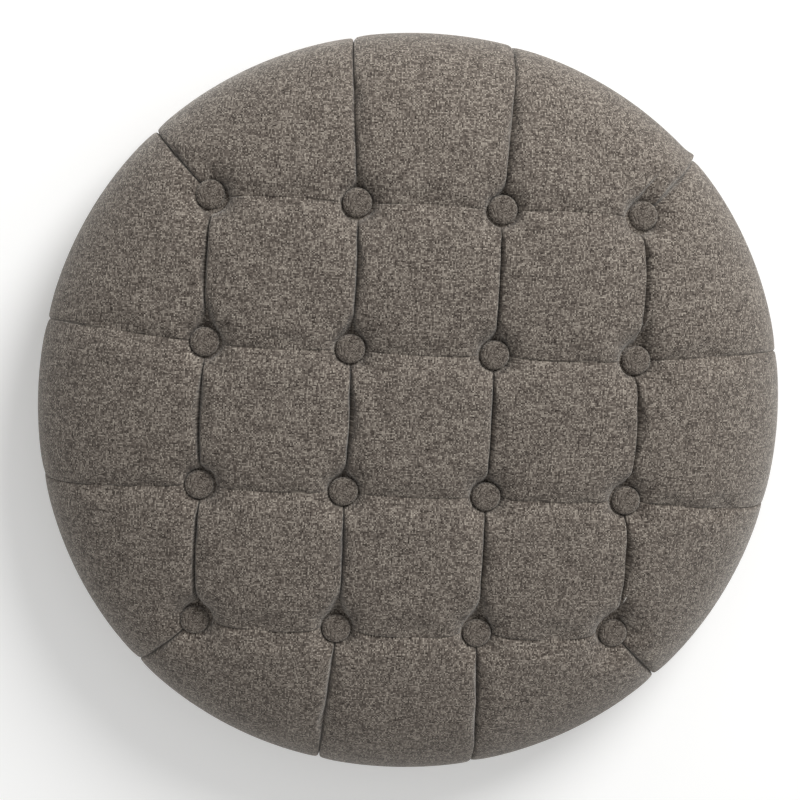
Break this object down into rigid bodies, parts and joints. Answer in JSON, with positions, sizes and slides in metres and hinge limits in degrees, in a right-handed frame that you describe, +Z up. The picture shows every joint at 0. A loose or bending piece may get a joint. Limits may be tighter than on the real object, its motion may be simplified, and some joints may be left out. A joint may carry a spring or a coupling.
{
  "type": "floor cushion",
  "caption": "Round tufted floor cushion in grey-brown woven cloth, with covered buttons on a square grid, pleats from button to button and over the rim, and a flat sewn base.",
  "frame": {"origin": "centre of the flat base, on the floor", "axes": "+Z up; +Y towards the back row of buttons and +X to the right, both along the button grid"},
  "size_m": [0.61, 0.61, 0.128],
  "materials": {
    "cover_cloth": "plain weave of thick melange yarns, matt",
    "base_cloth": "tight plain weave, matt",
    "button_cloth": "the cover's weave, drawn tight",
    "fibre": "bonded polyester wadding",
    "foam": "cut polyurethane foam, open cells",
    "thread": "twisted polyester thread",
    "twine": "waxed twisted twine",
    "shell_metal": "pressed, satin",
    "plate_metal": "pressed, zinc plated",
    "eye_wire": "drawn wire, zinc plated",
    "washer_plastic": "moulded polyethylene"
  },
  "bodies": {
    "root": {"top_cover": "cover_cloth", "base_panel": "base_cloth", "fibre_wrap": "fibre", "foam_core": "foam", "seam_thread": "thread", "button_shells": "shell_metal", "button_plates": "plate_metal", "button_eyes": "eye_wire", "button_r1c1": "button_cloth", "button_r1c2": "button_cloth", "button_r1c3": "button_cloth", "button_r1c4": "button_cloth", "button_r2c1": "button_cloth", "button_r2c2": "button_cloth", "button_r2c3": "button_cloth", "button_r2c4": "button_cloth", "button_r3c1": "button_cloth", "button_r3c2": "button_cloth", "button_r3c3": "button_cloth", "button_r3c4": "button_cloth", "button_r4c1": "button_cloth", "button_r4c2": "button_cloth", "button_r4c3": "button_cloth", "button_r4c4": "button_cloth", "twine_r1c1": "twine", "twine_r1c2": "twine", "twine_r1c3": "twine", "twine_r1c4": "twine", "twine_r2c1": "twine", "twine_r2c2": "twine", "twine_r2c3": "twine", "twine_r2c4": "twine", "twine_r3c1": "twine", "twine_r3c2": "twine", "twine_r3c3": "twine", "twine_r3c4": "twine", "twine_r4c1": "twine", "twine_r4c2": "twine", "twine_r4c3": "twine", "twine_r4c4": "twine", "washer_r1c1": "washer_plastic", "washer_r1c2": "washer_plastic", "washer_r1c3": "washer_plastic", "washer_r1c4": "washer_plastic", "washer_r2c1": "washer_plastic", "washer_r2c2": "washer_plastic", "washer_r2c3": "washer_plastic", "washer_r2c4": "washer_plastic", "washer_r3c1": "washer_plastic", "washer_r3c2": "washer_plastic", "washer_r3c3": "washer_plastic", "washer_r3c4": "washer_plastic", "washer_r4c1": "washer_plastic", "washer_r4c2": "washer_plastic", "washer_r4c3": "washer_plastic", "washer_r4c4": "washer_plastic"}
  },
  "joints": []
}
